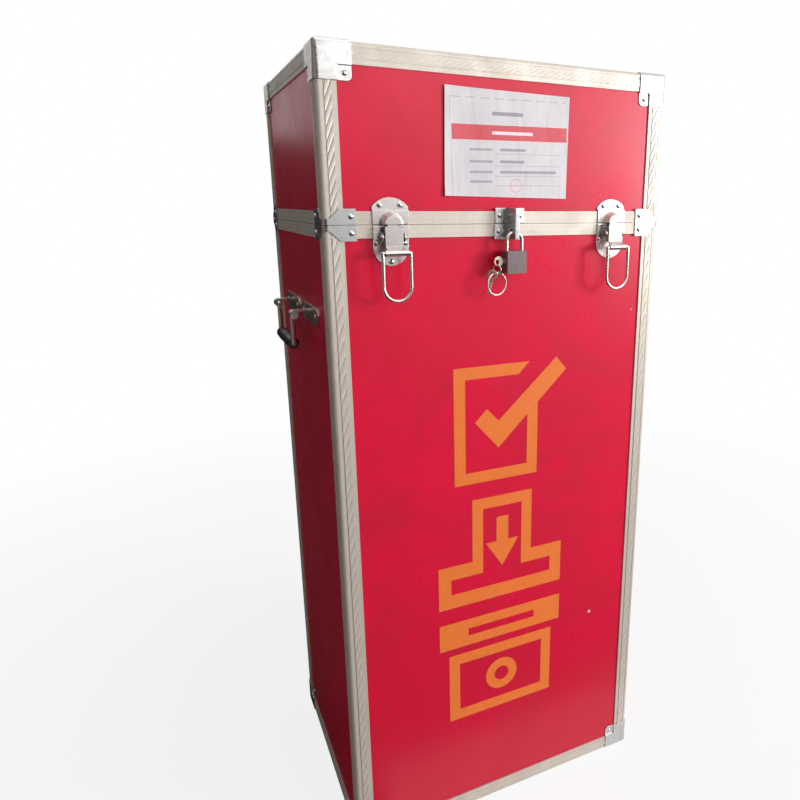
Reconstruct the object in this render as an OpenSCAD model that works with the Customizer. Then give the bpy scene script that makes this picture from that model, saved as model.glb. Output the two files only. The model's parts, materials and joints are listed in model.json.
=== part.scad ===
// Ballot box: a hinged lid, two spring latches, a padlocked hasp and two side handles.
// The front faces -Y, X runs to the right, and Z = 0 is the floor under the corner caps.

/* [Box] */
// Width of the box over its frame.
box_w = 400; // [380:5:440]
// Depth of the box over its frame.
box_d = 300; // [285:5:340]
// Height of the box over its corner caps.
box_h = 920; // [860:10:980]
// Height of the lid above the split line.
lid_h = 166; // [156:2:190]
// Thickness of the laminated panels.
panel_t = 6; // [5:0.5:8]

/* [Frame and corners] */
// Width of the frame that shows beside each edge.
flange_w = 20; // [18:0.5:22]
// How far the frame stands proud of the panels.
frame_t = 2; // [1.8:0.1:2.4]
// Radius of the rounded outer edges.
edge_r = 4; // [3:0.5:5]
// Depth of the plain strips beside the ribbed band.
strip_d = 0.4; // [0.3:0.05:0.6]
// Height of each rim at the split line.
rim_h = 13; // [12:0.5:14]
// Open line between the two rims.
split_gap = 0.5; // [0.4:0.1:0.8]
// Length of each corner cap along an edge.
cap_w = 36; // [34:1:40]
// Thickness of caps and corner brackets.
cap_t = 1.2; // [1:0.1:1.4]

/* [Ballot slot and paper] */
// Length of the ballot slot.
slot_l = 180; // [150:5:200]
// Width of the ballot slot.
slot_w = 8; // [7:0.5:12]
// Width of the certificate sheet.
sheet_w = 146; // [138:1:150]
// Height of the certificate sheet.
sheet_h = 106; // [98:1:108]

/* [Emblems] */
// Height of each emblem.
emblem_h = 140; // [110:5:145]
// Distance between the middles of two emblems.
emblem_step = 159; // [150:1:165]
// Distance of the top emblem's middle below the split line.
emblem_drop = 226; // [210:2:240]

/* [Latches] */
// Distance of each latch from the side of the box.
latch_in = 67; // [64:1:80]
// Width of the latch plates.
latch_w = 37.5; // [36:0.5:40]
// How far the bail ring hangs from the frame.
bail_out = 17; // [16.5:0.25:19]
// Radius of the bail wire.
bail_r = 1.75; // [1.5:0.05:1.8]
// Drop of the bail ring below its eye.
bail_drop = 47.5; // [42:0.5:52]

/* [Padlock] */
// Width of the padlock body.
lock_w = 23; // [22.5:0.25:25]
// Height of the padlock body.
lock_h = 24; // [23:0.5:27]
// Thickness of the padlock body.
lock_t = 14.5; // [14:0.25:15]
// Radius of the shackle wire.
shackle_r = 1.9; // [1.7:0.05:2]
// Radius of the key ring.
ring_r = 12; // [11:0.25:12.5]

/* [Side handles and hinges] */
// Distance between the two eyes of a handle.
handle_w = 102; // [96:1:106]
// Drop of the handle grip below its eyes.
handle_drop = 35; // [32:0.5:40]
// How far the handle hangs from the frame.
handle_out = 17; // [16:0.5:20]
// Distance of each hinge from the middle of the back.
hinge_x = 120; // [100:1:130]
// Width of each hinge.
hinge_w = 50; // [44:1:60]

/* [Hidden] */
$fn = 64;
slack = 0.08;
skin = 0.4;
frame_top = box_h - cap_t;
frame_low = cap_t;
split_z = box_h - lid_h;
latch_x = box_w / 2 - latch_in;
in_w = box_w - 2 * frame_t;
in_d = box_d - 2 * frame_t;
panel_low = frame_low + frame_t;
panel_top = frame_top - frame_t;
web_t = 1.6;
board_low = panel_low + panel_t;
board_split = split_z - split_gap / 2 - web_t;
lid_board_low = split_z + split_gap / 2 + 2 * web_t;
lip_t = 1.2;
tongue_in = 2.4;
plate_t = 1.2;
trim_w = 18;
trim_h = 14;
trim_r = 8;
joggle = 1.2;
band_in = 8;
band_out = 15;
ear_w = cap_w - cap_t - flange_w;
ear_r = 5;
ear_mid = flange_w + cap_t + (ear_w - cap_t) / 2;
bracket_l = flange_w + 12;
bracket_h = 15.5;
rivet_r = 3.2;
rivet_h = 1.5;
base_drop = 22;
strike_r = 24;
hood_r = 12.3;
hood_top_r = 8.6;
hood_out = 8.6;
pin_v = 6;
pin_w = -12;
pin_r = 1.5;
cheek_in = 8.05;
ear_in = 11;
eye_half = 12.2;
eye_w = -27;
bail_half = eye_half + skin + bail_r;
fin_out = 19;
hole_v = 12;
hole_w = -8.5;
hole_r = 3.2;
lock_v = hole_v;
lock_top = -28;
arch_r = lock_w / 2 - shackle_r - 0.6;
arch_w = hole_w - 0.2 - arch_r;
leg_long = 16;
leg_short = 6;
key_w = lock_top - 11;
plug_r = 3.2;
bow_u = -lock_w / 2 - 7.5;
bow_r = 5.3;
slot_r = 1.9;
slot_u = bow_u - 1.5;
slot_w_mid = key_w - 2.5;
link_wire = 0.7;
ring_gap = 0.35;
link_r = 5.2;
link_w = slot_w_mid - (slot_r - link_wire - ring_gap - 0.2) - link_r;
ring_wire = 0.8;
ring_w = link_w - link_r + link_wire + ring_wire + ring_gap - ring_r;
ring_turn = -100;
link_turn = -22;
spare_at = 28;
handle_plate_l = 86;
handle_plate_h = 20;
handle_rivet = handle_plate_l / 2 - 12;
handle_eye_t = 1.8;
grip_r = 7;
bar_r = 3;
eye_l = 11;
arm_half = handle_w / 2 - eye_l / 2 - skin - bar_r;
handle_w0 = -99;
leaf_t = 1.5;
leaf_h = 30;
leaf_rivet = leaf_h - 8;
hinge_v = frame_t + 3.4;
hinge_r = 3;
eye_r = 3.1;
mid_y = (bail_out + eye_r - hinge_v + frame_t - hinge_r) / 2;

// Outlines and blocks

module rounded(w, d, r) {
  square([w - 2 * r, d], center = true);
  square([w, d - 2 * r], center = true);
  for (x = [-1, 1])
    for (y = [-1, 1])
      translate([x * (w / 2 - r), y * (d / 2 - r)])
        circle(r);
}

module ring_plan(w, d, t) {
  difference() {
    square([w, d], center = true);
    square([w - 2 * t, d - 2 * t], center = true);
  }
}

// Moves a piece so that zero is the middle of the overall depth, from latch eyes to hinges.
module set_in() {
  translate([0, mid_y, 0])
    children();
}

// A square corner at the origin with a rounded outer edge, grown outwards by g.
module corner_plan(g, s) {
  translate([edge_r, edge_r])
    circle(edge_r + g);
  translate([edge_r, -g])
    square([s - edge_r, s + g]);
  translate([-g, edge_r])
    square([s + g, s - edge_r]);
}

// Draws a plan of X and Z as a slab that grows along +Y.
module facing(t) {
  mirror([0, 1, 0])
    rotate([90, 0, 0])
      linear_extrude(t)
        children();
}

// Draws a plan of Y and Z as a slab centred on X.
module across(w) {
  rotate([90, 0, 90])
    linear_extrude(w, center = true)
      children();
}

module three_ways() {
  children();
  rotate([90, 0, 90])
    children();
  rotate([90, 0, 90])
    rotate([90, 0, 90])
      children();
}

module corner_block(g, s) {
  intersection() {
    translate([0, 0, -g])
      linear_extrude(s + g)
        corner_plan(g, s);
    rotate([90, 0, 90])
      translate([0, 0, -g])
        linear_extrude(s + g)
          corner_plan(g, s);
    translate([0, -g, 0])
      facing(s + g)
        corner_plan(g, s);
  }
}

module case_block() {
  translate([0, 0, box_h / 2])
    intersection() {
      linear_extrude(frame_top - frame_low, center = true)
        rounded(box_w, box_d, edge_r);
      rotate([90, 0, 0])
        linear_extrude(box_d, center = true)
          rounded(box_w, frame_top - frame_low, edge_r);
      rotate([90, 0, 90])
        linear_extrude(box_w, center = true)
          rounded(box_d, frame_top - frame_low, edge_r);
    }
}

// Repeats a corner piece at the four upright edges.
module at_corners(z) {
  for (x = [0, 1])
    mirror([x, 0, 0])
      for (y = [0, 1])
        mirror([0, y, 0])
          translate([-box_w / 2, -box_d / 2, z])
            children();
}

// Local frame of the front: X along the box, Y outwards from the frame, Z from the split line.
module at_front(x) {
  translate([x, -box_d / 2, split_z])
    mirror([0, 1, 0])
      children();
}

// The same frame on the back.
module at_back(x) {
  translate([x, box_d / 2, split_z])
    children();
}

// The same frame on a side: -1 is the left one, 1 the right one.
module at_side(side) {
  translate([side * box_w / 2, 0, split_z + handle_w0])
    rotate([0, 0, -side * 90])
      children();
}

// A domed rivet head with its seat at the origin, standing along +Y.
module rivet(r = rivet_r) {
  ball = (r * r + rivet_h * rivet_h) / (2 * rivet_h);
  rotate([-90, 0, 0])
    intersection() {
      translate([0, 0, rivet_h - ball])
        sphere(ball);
      cylinder(h = 2 * rivet_h, r = r + 1);
    }
}

// Panels

// A board of the front (-1) or the back (1) that stands between two heights.
module wide_board(side, low, high) {
  color([0.8, 0.06, 0.2])
    translate([-in_w / 2, side * (in_d - panel_t) / 2 - panel_t / 2, low])
      cube([in_w, panel_t, high - low]);
}

// A board of the left (-1) or the right side (1), between the wide ones.
module side_board(side, low, high) {
  color([0.8, 0.06, 0.2])
    translate([side * (in_w - panel_t) / 2 - panel_t / 2, -in_d / 2 + panel_t, low])
      cube([panel_t, in_d - 2 * panel_t, high - low]);
}

module panel_front() {
  set_in()
    wide_board(-1, board_low, board_split);
}

module panel_back() {
  set_in()
    wide_board(1, board_low, board_split);
}

module panel_left() {
  set_in()
    side_board(-1, board_low, board_split);
}

module panel_right() {
  set_in()
    side_board(1, board_low, board_split);
}

module panel_bottom() {
  set_in()
    color([0.7, 0.05, 0.18])
      translate([-in_w / 2, -in_d / 2, panel_low])
        cube([in_w, in_d, panel_t]);
}

module lid_front() {
  set_in()
    wide_board(-1, lid_board_low, panel_top - panel_t);
}

module lid_back() {
  set_in()
    wide_board(1, lid_board_low, panel_top - panel_t);
}

module lid_left() {
  set_in()
    side_board(-1, lid_board_low, panel_top - panel_t);
}

module lid_right() {
  set_in()
    side_board(1, lid_board_low, panel_top - panel_t);
}

module lid_top() {
  set_in()
    color([0.8, 0.06, 0.2])
      difference() {
        translate([-in_w / 2, -in_d / 2, panel_top - panel_t])
          cube([in_w, in_d, panel_t]);
        translate([0, 0, panel_top - 2 * panel_t])
          linear_extrude(3 * panel_t)
            square([slot_l + 2 * plate_t, slot_w + 2 * plate_t], center = true);
      }
}

// Frame

// Plan of one upright with its corner at the origin.
module upright_plan() {
  difference() {
    corner_plan(0, flange_w);
    translate([frame_t, frame_t])
      square(flange_w);
    for (k = [0, 1])
      mirror([k, -k])
        for (x = [[edge_r + 1, band_in], [band_out, flange_w + 1]])
          translate([x[0], -1])
            square([x[1] - x[0], 1 + strip_d]);
  }
}

module upright(low, high) {
  color([0.84, 0.8, 0.74])
    translate([0, 0, low])
      linear_extrude(high - low)
        upright_plan();
}

module body_upright(x, y) {
  mirror([x, 0, 0])
    mirror([0, y, 0])
      translate([-box_w / 2, -box_d / 2, 0])
        upright(frame_low + flange_w, split_z - split_gap / 2);
}

module upright_front_left() {
  set_in()
    body_upright(0, 0);
}

module upright_front_right() {
  set_in()
    body_upright(1, 0);
}

module upright_back_left() {
  set_in()
    body_upright(0, 1);
}

module upright_back_right() {
  set_in()
    body_upright(1, 1);
}

module lid_uprights() {
  set_in()
    at_corners(0)
      upright(split_z + split_gap / 2, frame_top - flange_w);
}

// The shallow plain strips along the four sides of a horizontal edge, z from its outer edge.
module side_strips(z, up) {
  for (s = [[edge_r + 1, band_in], [band_out, flange_w + 1]])
    translate([0, 0, z + (up > 0 ? s[0] : -s[1])])
      linear_extrude(s[1] - s[0]) {
        for (y = [-1, 1])
          translate([0, y * box_d / 2])
            square([box_w - 2 * flange_w, 2 * strip_d], center = true);
        for (x = [-1, 1])
          translate([x * box_w / 2, 0])
            square([2 * strip_d, box_d - 2 * flange_w], center = true);
      }
}

// The same strips on the top of the lid.
module top_strips() {
  translate([0, 0, frame_top - strip_d])
    linear_extrude(1)
      for (s = [[edge_r + 1, band_in], [band_out, flange_w + 1]])
        intersection() {
          ring_plan(box_w - 2 * s[0], box_d - 2 * s[0], s[1] - s[0]);
          union() {
            square([box_w - 2 * cap_w, box_d], center = true);
            square([box_w, box_d - 2 * cap_w], center = true);
          }
        }
}

module top_edges() {
  set_in()
    color([0.84, 0.8, 0.74])
      difference() {
        case_block();
        translate([-box_w, -box_d, -1])
          cube([2 * box_w, 2 * box_d, frame_top - flange_w + 1]);
        translate([-in_w / 2, -in_d / 2, 0])
          cube([in_w, in_d, panel_top]);
        linear_extrude(2 * box_h)
          square([box_w - 2 * flange_w, box_d - 2 * flange_w], center = true);
        side_strips(frame_top, -1);
        top_strips();
      }
}

module base_edges() {
  set_in()
    color([0.84, 0.8, 0.74])
      difference() {
        case_block();
        translate([-box_w, -box_d, frame_low + flange_w])
          cube([2 * box_w, 2 * box_d, box_h]);
        translate([-in_w / 2, -in_d / 2, panel_low])
          cube([in_w, in_d, box_h]);
        translate([0, 0, -1])
          linear_extrude(box_h)
            square([box_w - 2 * flange_w, box_d - 2 * flange_w], center = true);
        side_strips(frame_low, 1);
      }
}

// One rim drawn downwards from the split line; the web covers the panel edges.
module rim(web) {
  low = -rim_h;
  high = -split_gap / 2;
  inner_w = in_w - 2 * panel_t;
  inner_d = in_d - 2 * panel_t;
  translate([0, 0, high - web])
    linear_extrude(web)
      ring_plan(in_w, in_d, panel_t + lip_t);
  translate([0, 0, low])
    linear_extrude(high - low)
      ring_plan(inner_w, inner_d, lip_t);
  difference() {
    translate([0, 0, low])
      linear_extrude(high - low)
        difference() {
          union() {
            square([box_w - 2 * flange_w, box_d], center = true);
            square([box_w, box_d - 2 * flange_w], center = true);
          }
          square([in_w, in_d], center = true);
        }
    for (z = [-4.2, -9.8])
      translate([0, 0, z])
        linear_extrude(1)
          ring_plan(box_w + 2, box_d + 2, 1 + strip_d);
  }
}

module body_rim() {
  set_in()
    color([0.84, 0.8, 0.74])
      translate([0, 0, split_z]) {
        rim(web_t);
        difference() {
          translate([0, 0, -split_gap / 2])
            linear_extrude(web_t)
              ring_plan(in_w - 2 * tongue_in, in_d - 2 * tongue_in, lip_t);
          translate([-box_w, box_d / 2 - 40, -1])
            cube([2 * box_w, box_d, 10]);
        }
      }
}

module lid_rim() {
  set_in()
    color([0.84, 0.8, 0.74])
      translate([0, 0, split_z])
        difference() {
          mirror([0, 0, 1])
            rim(2 * web_t);
          translate([0, 0, -1])
            linear_extrude(web_t + split_gap / 2 + 1)
              ring_plan(in_w - 2 * (tongue_in - skin), in_d - 2 * (tongue_in - skin),
                lip_t + 2 * skin);
        }
}

// Corner caps and brackets

// The lower ear of a cap: it steps down to the panel and takes one rivet.
module cap_ear() {
  difference() {
    translate([flange_w, -cap_t, flange_w])
      facing(frame_t + cap_t) {
        square([ear_w, ear_w - ear_r]);
        square([ear_w - ear_r, ear_w]);
        translate([ear_w - ear_r, ear_w - ear_r])
          circle(ear_r);
      }
    translate([flange_w + cap_t, -2 * cap_t, flange_w + cap_t])
      cube([ear_w, frame_t + cap_t, ear_w]);
  }
}

module cap() {
  color([0.78, 0.78, 0.78]) {
    difference() {
      corner_block(cap_t, cap_w - cap_t);
      corner_block(0, cap_w);
      three_ways()
        translate([flange_w + cap_t, -2 * cap_t, flange_w + cap_t])
          cube([cap_w, 2 * cap_t, cap_w]);
    }
    three_ways()
      cap_ear();
  }
}

module cap_rivets() {
  three_ways()
    translate([ear_mid, frame_t - cap_t, ear_mid])
      mirror([0, 1, 0])
        rivet(2.6);
}

module base_caps() {
  set_in()
    at_corners(frame_low)
      cap();
}

module top_caps() {
  set_in()
    at_corners(frame_top)
      mirror([0, 0, 1])
        cap();
}

// The part of a bracket leg that is cut away above its tapering web.
module bracket_taper() {
  translate([0, -3, 0])
    facing(7)
      polygon([[-3, 6], [edge_r + 2, 6], [flange_w - 3, bracket_h + 0.5],
        [flange_w - 3, 20], [-3, 20]]);
}

// A two-legged bracket around an upright edge, drawn upwards from the split line.
module bracket() {
  color([0.78, 0.78, 0.78])
    difference() {
      translate([0, 0, split_gap / 2])
        linear_extrude(bracket_h - split_gap / 2)
          difference() {
            corner_plan(cap_t, bracket_l);
            corner_plan(0, bracket_l + 1);
          }
      bracket_taper();
      mirror([1, -1, 0])
        bracket_taper();
    }
}

module bracket_rivets() {
  for (k = [0, 1])
    mirror([k, -k, 0])
      translate([bracket_l - 5, -cap_t, 8])
        mirror([0, 1, 0])
          rivet(2.9);
}

module body_brackets() {
  set_in()
    at_corners(split_z)
      mirror([0, 0, 1])
        bracket();
}

module lid_brackets() {
  set_in()
    at_corners(split_z)
      bracket();
}

// Latches

module strike_outline() {
  intersection() {
    translate([0, 2.4])
      circle(strike_r);
    translate([-latch_w / 2, 0.5])
      square([latch_w, 2 * strike_r]);
  }
}

// The lid half of a latch: a plate with a half-round hood and a hook bar inside it.
module strike() {
  color([0.8, 0.8, 0.8]) {
    intersection() {
      translate([0, -frame_t, 0])
        facing(frame_t + plate_t)
          strike_outline();
      across(2 * latch_w)
        polygon([[0, 0], [plate_t, 0], [plate_t, rim_h + joggle],
          [plate_t - frame_t, rim_h + joggle], [plate_t - frame_t, 40],
          [-frame_t, 40], [-frame_t, rim_h], [0, rim_h]]);
    }
    difference() {
      hood_cone(plate_t, plate_t + hood_out, hood_r, hood_top_r);
      difference() {
        hood_cone(0, hood_out, hood_r - 0.8, hood_top_r - 1.1);
        translate([-hood_r, hood_out - 2, -1])
          cube([2 * hood_r, 5, 2.7]);
      }
    }
  }
}

// Half a cone with its axis along Y, kept above the split line.
module hood_cone(low, high, r_low, r_high) {
  intersection() {
    translate([0, low, 0.5])
      rotate([-90, 0, 0])
        cylinder(h = high - low, r1 = r_low, r2 = r_high);
    translate([-20, low - 1, 0.5])
      cube([40, high - low + 2, 20]);
  }
}

module base_outline() {
  translate([-latch_w / 2, -base_drop])
    square([latch_w, base_drop - 0.7]);
  translate([0, -base_drop])
    circle(latch_w / 2);
}

// The body half of a latch: a riveted plate with two ears for the pin.
module latch_base() {
  color([0.8, 0.8, 0.8]) {
    intersection() {
      translate([0, -frame_t, 0])
        facing(frame_t + plate_t)
          base_outline();
      across(2 * latch_w)
        polygon([[0, 0], [plate_t, 0], [plate_t, -rim_h - joggle],
          [plate_t - frame_t, -rim_h - joggle], [plate_t - frame_t, -60],
          [-frame_t, -60], [-frame_t, -rim_h], [0, -rim_h]]);
    }
    for (x = [-1, 1])
      translate([x * (ear_in + plate_t / 2), 0, 0])
        difference() {
          across(plate_t) {
            translate([0, -19])
              square([2.6, 14.5]);
            translate([-frame_t, -19])
              square([3, 19 - rim_h]);
            translate([0, pin_w - 4.5])
              square([pin_v, 9]);
            translate([pin_v, pin_w])
              circle(4.5);
          }
          across(2 * plate_t)
            translate([pin_v, pin_w])
              circle(pin_r + slack);
        }
  }
}

// The sprung lever: a boxed front, two cheeks, a hooked tongue and a rolled eye.
module latch_lever() {
  face_v = 11;
  face_half = cheek_in + plate_t;
  color([0.72, 0.72, 0.72])
    difference() {
      union() {
        translate([-face_half, face_v - plate_t, -21.5])
          cube([2 * face_half, plate_t, 20.1]);
        translate([-face_half, 4.6, -2.6])
          cube([2 * face_half, face_v - 4.6, plate_t]);
        for (x = [-1, 1])
          translate([x * (cheek_in + plate_t / 2), 0, 0])
            across(plate_t)
              polygon([[4.6, -1.4], [face_v, -1.4], [face_v, -21.5], [8, -21.5],
                [3.4, -15], [3.4, -4]]);
        across(10)
          polygon([[4.6, -1.5], [5.8, -1.5], [5.8, 2.1], [7.8, 2.1], [5.8, 5.2],
            [4.6, 5.2]]);
        across(2 * face_half)
          polygon([[face_v - plate_t, -20], [face_v, -20], [face_v, -20.9],
            [bail_out, eye_w + 2.7], [bail_out - 1.6, eye_w + 1.6],
            [face_v - plate_t, -21.5]]);
        across(2 * eye_half)
          translate([bail_out, eye_w])
            circle(eye_r);
      }
      across(4 * eye_half)
        translate([bail_out, eye_w])
          circle(bail_r + slack);
      across(4 * eye_half)
        translate([pin_v, pin_w])
          circle(pin_r + slack);
    }
}

module latch_pin() {
  half = ear_in + plate_t;
  color([0.6, 0.6, 0.6])
    rotate([0, 90, 0]) {
      translate([-pin_w, pin_v, -half - 0.1])
        cylinder(h = 2 * half + 0.2, r = pin_r);
      for (k = [0, 1])
        mirror([0, 0, k])
          translate([-pin_w, pin_v, half + 0.05])
            cylinder(h = 0.8, r = 2.6);
    }
}

// A coil around the pin, with one leg on the base and one behind the lever.
module latch_spring() {
  pitch = 0.9;
  turns = 3;
  color([0.55, 0.55, 0.55])
    translate([0, pin_v, pin_w]) {
      rotate([0, 90, 0])
        rotate_extrude()
          polygon(concat([[2.1, -(turns + 0.5) * pitch]],
            [for (k = [-turns:turns]) each [[2.6, (k - 0.5) * pitch], [3, k * pitch]]],
            [[2.6, (turns + 0.5) * pitch], [2.1, (turns + 0.5) * pitch]]));
      translate([2.2, -2.4, 0])
        cylinder(h = 9, r = 0.45);
      translate([-2.2, -2.4, -6])
        cylinder(h = 6, r = 0.45);
    }
}

// The closed ring that hangs in the eye of the lever.
module latch_bail() {
  bend_w = -(bail_drop - bail_half);
  color([0.8, 0.8, 0.8])
    translate([0, bail_out, eye_w]) {
      rotate([0, 90, 0])
        cylinder(h = 2 * bail_half, r = bail_r, center = true);
      for (x = [-1, 1])
        translate([x * bail_half, 0, 0]) {
          sphere(bail_r);
          translate([0, 0, bend_w])
            cylinder(h = -bend_w, r = bail_r);
        }
      translate([0, 0, bend_w])
        rotate([-90, 0, 0])
          rotate_extrude(angle = 180)
            translate([bail_half, 0])
              circle(bail_r);
    }
}

module strike_left() {
  set_in()
    at_front(-latch_x)
      strike();
}

module strike_right() {
  set_in()
    at_front(latch_x)
      strike();
}

module latch_base_left() {
  set_in()
    at_front(-latch_x)
      latch_base();
}

module latch_base_right() {
  set_in()
    at_front(latch_x)
      latch_base();
}

module latch_lever_left() {
  set_in()
    at_front(-latch_x)
      latch_lever();
}

module latch_lever_right() {
  set_in()
    at_front(latch_x)
      latch_lever();
}

module latch_pin_left() {
  set_in()
    at_front(-latch_x)
      latch_pin();
}

module latch_pin_right() {
  set_in()
    at_front(latch_x)
      latch_pin();
}

module latch_spring_left() {
  set_in()
    at_front(-latch_x)
      latch_spring();
}

module latch_spring_right() {
  set_in()
    at_front(latch_x)
      latch_spring();
}

module latch_bail_left() {
  set_in()
    at_front(-latch_x)
      latch_bail();
}

module latch_bail_right() {
  set_in()
    at_front(latch_x)
      latch_bail();
}

// Hasp

module hasp_hole() {
  across(30)
    translate([hole_v, hole_w])
      circle(hole_r);
}

// The lid half: a riveted plate with a hollow fin that reaches below the split line.
module hasp_lid() {
  set_in()
    color([0.78, 0.78, 0.78])
      at_front(0)
        difference() {
          union() {
            translate([0, 0, 0.5])
              facing(plate_t)
                translate([-17.5, 0])
                  square([35, 16]);
            translate([0, 0, -16])
              linear_extrude(32.5)
                polygon([[-5.2, plate_t + skin], [-2.4, fin_out], [2.4, fin_out],
                  [5.2, plate_t + skin]]);
            translate([0, 0, 0.5])
              linear_extrude(16)
                polygon([[-5.4, 0], [-5.2, plate_t + skin], [5.2, plate_t + skin],
                  [5.4, 0]]);
          }
          translate([0, 0, -20])
            linear_extrude(50)
              polygon([[-4.2, -1], [-4, plate_t + skin], [-1.3, fin_out - 1.2],
                [1.3, fin_out - 1.2], [4, plate_t + skin], [4.2, -1]]);
          hasp_hole();
        }
}

// The body half: a riveted plate with a flat fin inside the other one.
module hasp_body() {
  set_in()
    color([0.74, 0.74, 0.74])
      at_front(0)
        difference() {
          union() {
            translate([0, 0, -16.3])
              facing(plate_t)
                translate([-18.5, 0])
                  square([19.4, 15.6]);
            translate([-0.9, 0, -15.5])
              cube([1.8, 17, 14.8]);
          }
          hasp_hole();
        }
}

// Padlock and keys

module lock_body() {
  set_in()
    color([0.2, 0.16, 0.16])
      at_front(0)
        difference() {
          translate([0, lock_v - lock_t / 2, lock_top - lock_h / 2])
            facing(lock_t)
              rounded(lock_w, lock_h, 1.2);
          for (x = [-1, 1])
            translate([x * arch_r, lock_v, lock_top - (x > 0 ? leg_long : leg_short) - 1])
              cylinder(h = 40, r = shackle_r + slack);
          translate([-lock_w / 2 - 1, lock_v, key_w])
            rotate([0, 90, 0])
              cylinder(h = 8, r = plug_r + slack);
        }
}

module lock_shackle() {
  set_in()
    color([0.8, 0.8, 0.8])
      at_front(0)
        translate([0, lock_v, arch_w]) {
          rotate([-90, 0, 0])
            rotate_extrude(angle = -180)
              translate([arch_r, 0])
                circle(shackle_r);
          for (x = [-1, 1])
            translate([x * arch_r, 0, lock_top - (x > 0 ? leg_long : leg_short) - arch_w])
              cylinder(h = arch_w - lock_top + (x > 0 ? leg_long : leg_short), r = shackle_r);
        }
}

// The round plug that the key turns.
module lock_plug() {
  set_in()
    color([0.55, 0.5, 0.35])
      at_front(0)
        translate([-lock_w / 2, lock_v, key_w])
          difference() {
            rotate([0, 90, 0])
              cylinder(h = 6.9, r = plug_r);
            translate([-1, -0.9, -2.2])
              cube([7, 1.8, 4.4]);
          }
}

// The key in the lock: an oval bow with a slot, and a blade in the plug.
module lock_key() {
  set_in()
    color([0.75, 0.73, 0.66])
      at_front(0)
        translate([0, lock_v - 0.8, 0])
          facing(1.6)
            difference() {
              union() {
                translate([bow_u, key_w])
                  circle(bow_r);
                translate([bow_u, key_w - 2])
                  square([-lock_w / 2 - bow_u + 5, 4]);
              }
              translate([slot_u, slot_w_mid])
                circle(slot_r);
              translate([slot_u - slot_r, slot_w_mid])
                square([2 * slot_r, 4.2]);
            }
}

module wire_ring(r, wire, turn) {
  rotate([0, 0, turn])
    rotate([0, 90, 0])
      rotate_extrude()
        translate([r, 0])
          circle(wire);
}

module link_ring() {
  set_in()
    color([0.8, 0.8, 0.78])
      at_front(0)
        translate([slot_u, lock_v, link_w])
          wire_ring(link_r, link_wire, link_turn);
}

module key_ring() {
  set_in()
    color([0.82, 0.8, 0.74])
      at_front(0)
        translate([slot_u, lock_v, ring_w])
          wire_ring(ring_r, ring_wire, ring_turn);
}

// The second key, hanging near the top of the key ring.
module spare_key() {
  set_in()
    color([0.8, 0.76, 0.6])
      at_front(0)
        translate([slot_u, lock_v, ring_w])
          rotate([0, 0, ring_turn + 90])
            translate([-ring_r * sin(spare_at), 0, ring_r * cos(spare_at)])
              rotate([0, 0, 52])
                rotate([0, 12, 0])
                  translate([0, -0.7, -0.8])
                    facing(1.4)
                      difference() {
                        union() {
                          circle(5.4);
                          translate([-1.8, -21])
                            square([3.6, 18]);
                        }
                        circle(3);
                        for (k = [[1.2, -19], [1.4, -15.5], [1, -12]])
                          translate(k)
                            square([2, 1.6]);
                      }
}

// Side handles

module handle_plate() {
  difference() {
    union() {
      translate([0, -frame_t, 0])
        facing(leaf_t)
          rounded(handle_plate_l, handle_plate_h, handle_plate_h / 2 - 0.1);
      translate([-eye_l / 2, -frame_t, bar_r])
        cube([eye_l, handle_out + frame_t, handle_eye_t]);
      across(eye_l)
        translate([handle_out, 0])
          circle(bar_r + handle_eye_t);
    }
    across(2 * eye_l)
      translate([handle_out, 0])
        circle(bar_r + slack);
  }
}

module handle_plates(side) {
  color([0.75, 0.75, 0.75])
    at_side(side)
      for (x = [-1, 1])
        translate([x * handle_w / 2, 0, 0])
          handle_plate();
}

module handle_bail(side) {
  tip = handle_w / 2 + eye_l / 2;
  color([0.82, 0.82, 0.82])
    at_side(side)
      translate([0, handle_out, 0]) {
        for (x = [-1, 1])
          scale([x, 1, 1]) {
            translate([arm_half, 0, 0])
              rotate([0, 90, 0])
                cylinder(h = tip + skin - arm_half, r = bar_r);
            translate([tip + skin, 0, 0])
              rotate([0, 90, 0])
                cylinder(h = 1.5, r = bar_r + 1.2);
            translate([arm_half, 0, 0])
              sphere(bar_r);
            translate([arm_half, 0, -handle_drop])
              cylinder(h = handle_drop, r = bar_r);
            translate([arm_half, 0, -handle_drop])
              sphere(bar_r);
          }
        translate([0, 0, -handle_drop])
          rotate([0, 90, 0])
            cylinder(h = 2 * arm_half, r = bar_r, center = true);
      }
}

module handle_grip(side) {
  half = arm_half - bar_r - 0.6;
  color([0.06, 0.06, 0.06])
    at_side(side)
      translate([0, handle_out, -handle_drop])
        rotate([0, 90, 0])
          rotate_extrude()
            polygon([[bar_r + slack, -half], [grip_r - 1.5, -half], [grip_r - 0.5, -half + 1],
              [grip_r, -half / 2], [grip_r, half / 2], [grip_r - 0.5, half - 1],
              [grip_r - 1.5, half], [bar_r + slack, half]]);
}

module handle_plates_left() {
  set_in()
    handle_plates(-1);
}

module handle_plates_right() {
  set_in()
    handle_plates(1);
}

module handle_bail_left() {
  set_in()
    handle_bail(-1);
}

module handle_bail_right() {
  set_in()
    handle_bail(1);
}

module handle_grip_left() {
  set_in()
    handle_grip(-1);
}

module handle_grip_right() {
  set_in()
    handle_grip(1);
}

// Hinges

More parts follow.
